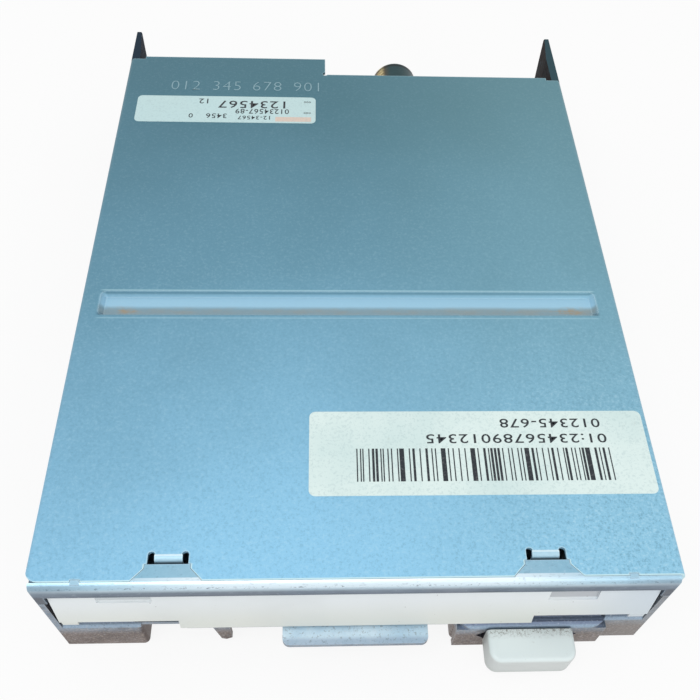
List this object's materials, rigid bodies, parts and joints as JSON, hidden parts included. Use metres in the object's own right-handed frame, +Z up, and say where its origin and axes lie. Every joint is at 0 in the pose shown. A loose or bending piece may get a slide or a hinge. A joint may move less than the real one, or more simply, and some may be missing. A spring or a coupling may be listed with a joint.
{
  "type": "floppy disk drive",
  "caption": "Bare internal 3.5 inch floppy disk drive: pressed steel frame and blue cover, white dust flap, eject button, full disk loading, spindle and head mechanism.",
  "frame": {"origin": "middle of the whole drive's base, on the plane that it rests on, halfway between the button's front and the rear ears", "axes": "+Z up, +X to the right as seen from the front, +Y rearward along the way a disk is inserted; the front faces -Y"},
  "size_m": [0.1016, 0.1522, 0.0254],
  "materials": {
    "cover_steel": "satin blue zinc-passivated sheet",
    "chassis_steel": "zinc-plated pressed steel",
    "bar_steel": "zinc-plated pressed steel, scuffed",
    "bright_steel": "bright steel",
    "spring_steel": "spring wire",
    "screw_steel": "bright zinc",
    "label_paper": "printed paper film",
    "flap_plastic": "moulded off-white",
    "button_plastic": "moulded off-white",
    "black_plastic": "moulded black",
    "white_nylon": "moulded natural nylon",
    "grey_plastic": "moulded glass-filled",
    "head_ceramic": "polished ceramic",
    "board_green": "solder mask over laminate",
    "copper_wire": "enamelled winding",
    "core_steel": "laminated sheet",
    "magnet": "bonded ferrite",
    "bronze": "sintered bronze",
    "motor_can": "bright drawn can",
    "pin_gold": "plated contacts",
    "flex_film": "polyimide film",
    "lamp_lens": "tinted diffusing lens"
  },
  "bodies": {
    "frame": {"chassis": "chassis_steel", "top_cover": "cover_steel", "front_crossbar": "bar_steel", "small_label": "label_paper", "large_label": "label_paper", "door_spring": "spring_steel", "slide_studs": "bright_steel", "slide_spring_left": "spring_steel", "slide_spring_right": "spring_steel", "motor_board": "board_green", "motor_board_screws": "screw_steel", "stator_core": "core_steel", "stator_coils": "copper_wire", "spindle_bearing": "bronze", "guide_rods": "bright_steel", "rod_clamps": "bright_steel", "clamp_screws": "screw_steel", "screw_bearing": "bronze", "stepper_motor": "motor_can", "stepper_bush": "bronze", "stepper_bracket": "bright_steel", "bracket_screws": "screw_steel", "track_sensor": "black_plastic", "switch_bodies": "black_plastic", "small_boards": "board_green", "access_lamp": "lamp_lens", "main_board": "board_green", "board_screws": "screw_steel", "board_chips": "black_plastic", "capacitors": "black_plastic", "interface_header": "black_plastic", "header_pins": "pin_gold", "power_connector": "white_nylon", "power_pins": "pin_gold", "flex_connector": "white_nylon", "flex_cable": "flex_film"},
    "door": {"door_flap": "flap_plastic"},
    "slide": {"slide_plate": "bright_steel", "eject_button": "button_plastic"},
    "holder": {"disk_holder": "bright_steel", "holder_pins": "bright_steel", "lever_pin": "bright_steel", "lever_spring": "spring_steel"},
    "lever": {"shutter_lever": "bright_steel"},
    "carriage": {"head_carriage": "grey_plastic", "lower_head": "head_ceramic", "arm_pin": "bright_steel", "arm_spring": "spring_steel", "follower_pin": "bright_steel"},
    "arm": {"upper_arm": "grey_plastic", "upper_head": "head_ceramic"},
    "spindle": {"spindle_shaft": "bright_steel", "hub_plate": "bright_steel", "drive_pin": "bright_steel", "rotor_cup": "bright_steel", "rotor_magnet": "magnet"},
    "screw": {"lead_screw": "bright_steel"},
    "protect_switch": {"protect_plunger": "white_nylon"},
    "disk_switch": {"disk_plunger": "white_nylon"},
    "density_switch": {"density_plunger": "white_nylon"}
  },
  "joints": [
    {"name": "door_swing", "type": "hinge", "parent": "frame", "child": "door", "pos_m": [0, -0.0667, 0.0196], "axis": [1, 0, 0], "range_deg": [0, 100], "stiffness_Nm_per_rad": 0.0015, "springref_deg": -22.92, "deforming": ["door_spring"]},
    {"name": "eject_slide", "type": "slide", "parent": "frame", "child": "slide", "axis": [0, -1, 0], "range_m": [0, 0.0045], "deforming": ["slide_spring_left", "slide_spring_right"]},
    {"name": "holder_drop", "type": "slide", "parent": "frame", "child": "holder", "axis": [0, 0, -1], "range_m": [0, 0.0025]},
    {"name": "lever_swing", "type": "hinge", "parent": "holder", "child": "lever", "pos_m": [0.036, 0.0091, 0.0189], "axis": [0, 0, -1], "range_deg": [0, 50], "stiffness_Nm_per_rad": 0.0008, "springref_deg": -17.19, "deforming": ["lever_spring"]},
    {"name": "carriage_travel", "type": "slide", "parent": "frame", "child": "carriage", "axis": [0, -1, 0], "range_m": [0, 0.0148], "deforming": ["flex_cable"]},
    {"name": "arm_lift", "type": "hinge", "parent": "carriage", "child": "arm", "pos_m": [0, 0.0491, 0.0185], "axis": [1, 0, 0], "range_deg": [0, 8.6], "deforming": ["arm_spring"]},
    {"name": "screw_spin", "type": "hinge", "parent": "frame", "child": "screw", "pos_m": [0.0122, 0.0411, 0.0162], "axis": [0, 1, 0], "range_deg": [0, 1780]},
    {"name": "spindle_spin", "type": "hinge", "parent": "frame", "child": "spindle", "pos_m": [0, -0.0199, 0.005], "axis": [0, 0, 1], "continuous": true},
    {"name": "protect_press", "type": "slide", "parent": "frame", "child": "protect_switch", "axis": [0, 0, -1], "range_m": [0, 0.0015], "stiffness_N_per_m": 60, "springref_m": -0.0004},
    {"name": "disk_press", "type": "slide", "parent": "frame", "child": "disk_switch", "axis": [0, 0, -1], "range_m": [0, 0.0015], "stiffness_N_per_m": 60, "springref_m": -0.0004},
    {"name": "density_press", "type": "slide", "parent": "frame", "child": "density_switch", "axis": [0, 0, -1], "range_m": [0, 0.0015], "stiffness_N_per_m": 60, "springref_m": -0.0004}
  ],
  "couplings": [
    {"joint": "holder_drop", "follows": "eject_slide", "ratio": 0.55554},
    {"joint": "arm_lift", "follows": "eject_slide", "rad_per_m": 32.773},
    {"joint": "screw_spin", "follows": "carriage_travel", "rad_per_m": 2094.4}
  ]
}
